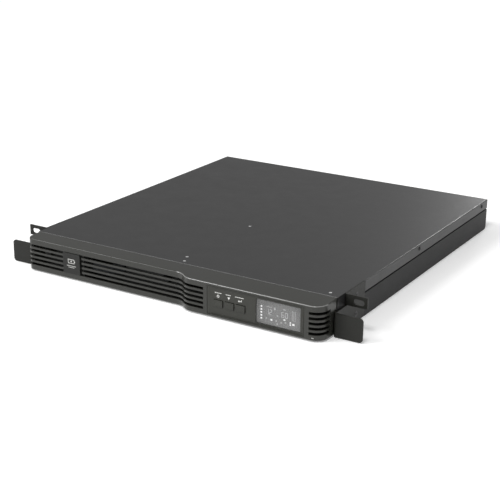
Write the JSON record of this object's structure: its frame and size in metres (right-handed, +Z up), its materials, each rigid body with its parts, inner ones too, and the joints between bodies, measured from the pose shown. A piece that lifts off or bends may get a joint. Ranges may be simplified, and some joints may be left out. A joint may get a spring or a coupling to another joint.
{
  "type": "uninterruptible power supply",
  "caption": "Rack-mount uninterruptible power supply, one unit high, with slotted bezel, display, push buttons, sliding battery tray and rear sockets.",
  "frame": {"origin": "On the underside, below the middle of the whole object's box", "axes": "+X to the right as seen from the front, across the rack; +Y from the front bezel towards the rear panel; +Z up"},
  "size_m": [0.497, 0.4868, 0.0434],
  "materials": {
    "painted_steel": "fine satin charcoal powder coat",
    "bracket_steel": "satin charcoal paint",
    "bezel_plastic": "fine moulded texture, charcoal",
    "panel_plastic": "smooth satin overlay",
    "button_plastic": "satin",
    "clear_lens": "clear polished",
    "display": "lit liquid-crystal panel",
    "circuit_board": "solder mask",
    "black_plastic": "moulded",
    "zinc_steel": "zinc plated",
    "black_screw": "black zinc",
    "battery_case": "moulded case",
    "laminations": "varnished steel stack",
    "winding": "enamelled copper under tape",
    "aluminium": "extruded",
    "capacitor_sleeve": "shrink sleeve",
    "relay_case": "moulded",
    "strap_fabric": "woven webbing"
  },
  "bodies": {
    "chassis": {"chassis_base": "painted_steel", "top_cover": "painted_steel", "rear_panel": "painted_steel", "card_cover": "painted_steel", "bay_divider": "zinc_steel", "rack_bracket_right": "bracket_steel", "rack_bracket_left": "bracket_steel", "cover_screw_right_1": "black_screw", "cover_screw_right_2": "black_screw", "cover_screw_left_1": "black_screw", "cover_screw_left_2": "black_screw", "bracket_screw_right_1": "black_screw", "bracket_screw_right_2": "black_screw", "bracket_screw_left_1": "black_screw", "bracket_screw_left_2": "black_screw", "control_panel": "panel_plastic", "display_window": "clear_lens", "display_module": "display", "control_board": "circuit_board", "battery_socket": "black_plastic", "transformer_core": "laminations", "transformer_coil": "winding", "main_board": "circuit_board", "heat_sink_1": "aluminium", "heat_sink_2": "aluminium", "capacitor_1": "capacitor_sleeve", "capacitor_2": "capacitor_sleeve", "capacitor_3": "capacitor_sleeve", "capacitor_4": "capacitor_sleeve", "relay_1": "relay_case", "relay_2": "relay_case", "fan_frame": "black_plastic", "mains_inlet": "black_plastic", "outlet_1": "black_plastic", "outlet_2": "black_plastic", "outlet_3": "black_plastic", "outlet_4": "black_plastic", "outlet_5": "black_plastic", "outlet_6": "black_plastic", "breaker_body": "black_plastic", "usb_port": "zinc_steel", "serial_port": "zinc_steel", "network_jacks": "black_plastic", "ground_screw": "zinc_steel"},
    "bezel": {"front_bezel": "bezel_plastic", "badge_plate": "bezel_plastic"},
    "tray": {"battery_tray": "painted_steel", "battery_1": "battery_case", "battery_2": "battery_case", "battery_3": "battery_case", "battery_4": "battery_case", "tray_screw_1": "black_screw", "tray_screw_2": "black_screw", "tray_strap": "strap_fabric", "battery_plug": "black_plastic"},
    "power_key": {"power_button": "button_plastic"},
    "select_key": {"select_button": "button_plastic"},
    "enter_key": {"enter_button": "button_plastic"},
    "rotor": {"fan_rotor": "black_plastic"},
    "reset_key": {"breaker_button": "black_plastic"}
  },
  "joints": [
    {"name": "tray_slide", "type": "slide", "parent": "chassis", "child": "tray", "axis": [0, -1, 0], "range_m": [0, 0.3]},
    {"name": "bezel_pull", "type": "slide", "parent": "chassis", "child": "bezel", "axis": [0, -1, 0], "range_m": [0, 0.36]},
    {"name": "power_press", "type": "slide", "parent": "chassis", "child": "power_key", "axis": [0, 1, 0], "range_m": [0, 0.0012], "stiffness_N_per_m": 1200},
    {"name": "select_press", "type": "slide", "parent": "chassis", "child": "select_key", "axis": [0, 1, 0], "range_m": [0, 0.0012], "stiffness_N_per_m": 1200},
    {"name": "enter_press", "type": "slide", "parent": "chassis", "child": "enter_key", "axis": [0, 1, 0], "range_m": [0, 0.0012], "stiffness_N_per_m": 1200},
    {"name": "fan_spin", "type": "hinge", "parent": "chassis", "child": "rotor", "pos_m": [0.188, 0.2254, 0.0215], "axis": [0, 1, 0], "continuous": true},
    {"name": "breaker_reset", "type": "slide", "parent": "chassis", "child": "reset_key", "axis": [0, 1, 0], "range_m": [0, 0.004]}
  ],
  "couplings": [
    {"joint": "bezel_pull", "follows": "tray_slide", "ratio": 1.2}
  ]
}
